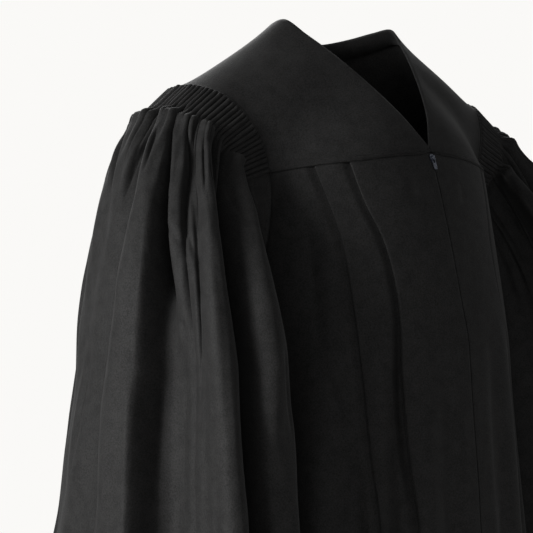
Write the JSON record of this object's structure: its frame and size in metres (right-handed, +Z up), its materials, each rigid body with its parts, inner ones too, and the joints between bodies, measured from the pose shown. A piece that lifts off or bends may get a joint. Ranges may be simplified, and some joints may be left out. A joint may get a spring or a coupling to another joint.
{
  "type": "graduation gown",
  "caption": "Long open gown with a V-neck yoke, pleated fronts closed by a zip, a pleated back and wide bell sleeves gathered at the armholes.",
  "frame": {"origin": "midway between the two shoulder points of the neckline, at their height, where the gown is held up when worn", "axes": "+Z up, the front faces -Y, the wearer's right side is at -X"},
  "size_m": [0.7958, 0.6488, 1.3462],
  "materials": {
    "black_cloth": "matt fine-weave polyester",
    "black_tape": "woven zip tape with a nylon coil",
    "slider_metal": "plated zip slider"
  },
  "bodies": {
    "gown": {"yoke": "black_cloth", "front_right": "black_cloth", "front_left": "black_cloth", "back": "black_cloth", "sleeve_right": "black_cloth", "sleeve_left": "black_cloth", "zip_chain": "black_tape", "zip_slider": "slider_metal"},
    "pull": {"zip_pull": "slider_metal"}
  },
  "joints": [
    {"name": "pull_swing", "type": "hinge", "parent": "gown", "child": "pull", "pos_m": [0, -0.11825, -0.15004], "axis": [-1, 0, 0], "range_deg": [0, 150]}
  ]
}
